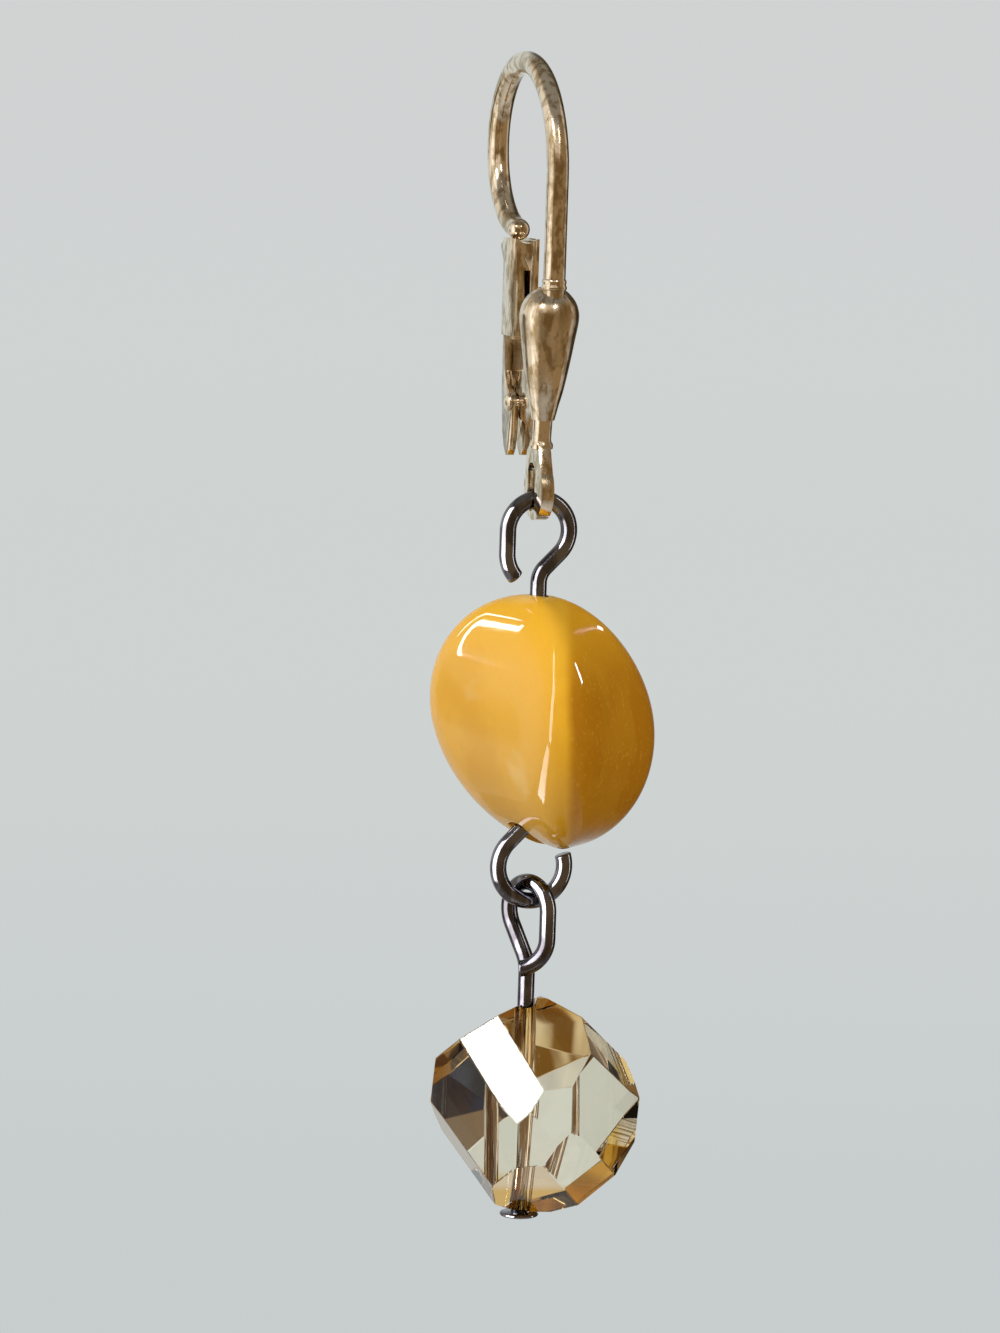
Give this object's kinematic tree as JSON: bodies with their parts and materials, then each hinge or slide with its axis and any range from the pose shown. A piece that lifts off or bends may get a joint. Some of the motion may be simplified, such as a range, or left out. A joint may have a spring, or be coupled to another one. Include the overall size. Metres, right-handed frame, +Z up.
{
  "type": "leverback drop earring",
  "caption": "Leverback earring with a teardrop shield, a hinged lever and a hanging drop of a soft amber-coloured bead over a faceted champagne glass bead on looped wire pins.",
  "frame": {"origin": "crown of the ear wire, on the centreline of the wire, where the earring hangs in the ear lobe", "axes": "+Z up along the hanging drop, -Y toward the viewer of the shield, +X to the viewer's right; the lever opens toward +Y"},
  "size_m": [0.0086, 0.0113, 0.0447],
  "materials": {
    "tarnished_silver": "silver-plated wire and sheet, worn and warmly tarnished, glossy",
    "dark_pin_metal": "polished antique-silver wire, dark with bright streaks",
    "amber_bead": "polished translucent amber-yellow stone-like bead with a glossy skin",
    "champagne_crystal": "clear champagne glass with polished flat facets"
  },
  "bodies": {
    "ear_wire": {"ear_hook": "tarnished_silver", "lever_rivet": "tarnished_silver"},
    "lever": {"lever": "tarnished_silver"},
    "eye_pin": {"eye_pin": "dark_pin_metal"},
    "amber_bead": {"amber_bead": "amber_bead"},
    "head_pin": {"head_pin": "dark_pin_metal"},
    "crystal_bead": {"crystal_bead": "champagne_crystal"}
  },
  "joints": [
    {"name": "lever_hinge", "type": "hinge", "parent": "ear_wire", "child": "lever", "pos_m": [0, -0.00048, -0.01295], "axis": [-1, 0, 0], "range_deg": [0, 75]},
    {"name": "drop_swing", "type": "hinge", "parent": "ear_wire", "child": "eye_pin", "pos_m": [0.00014, -0.00291, -0.01643], "axis": [1, 0, 0], "range_deg": [-75, 75]},
    {"name": "amber_turn", "type": "hinge", "parent": "eye_pin", "child": "amber_bead", "pos_m": [0.00021, -0.00291, -0.02502], "axis": [0, 0, 1], "range_deg": [-8, 8]},
    {"name": "crystal_swing", "type": "hinge", "parent": "eye_pin", "child": "head_pin", "pos_m": [0.00021, -0.00291, -0.03191], "axis": [1, 0, 0], "range_deg": [-35, 35]},
    {"name": "crystal_turn", "type": "hinge", "parent": "head_pin", "child": "crystal_bead", "pos_m": [0.00021, -0.00291, -0.03996], "axis": [0, 0, 1], "continuous": true}
  ]
}
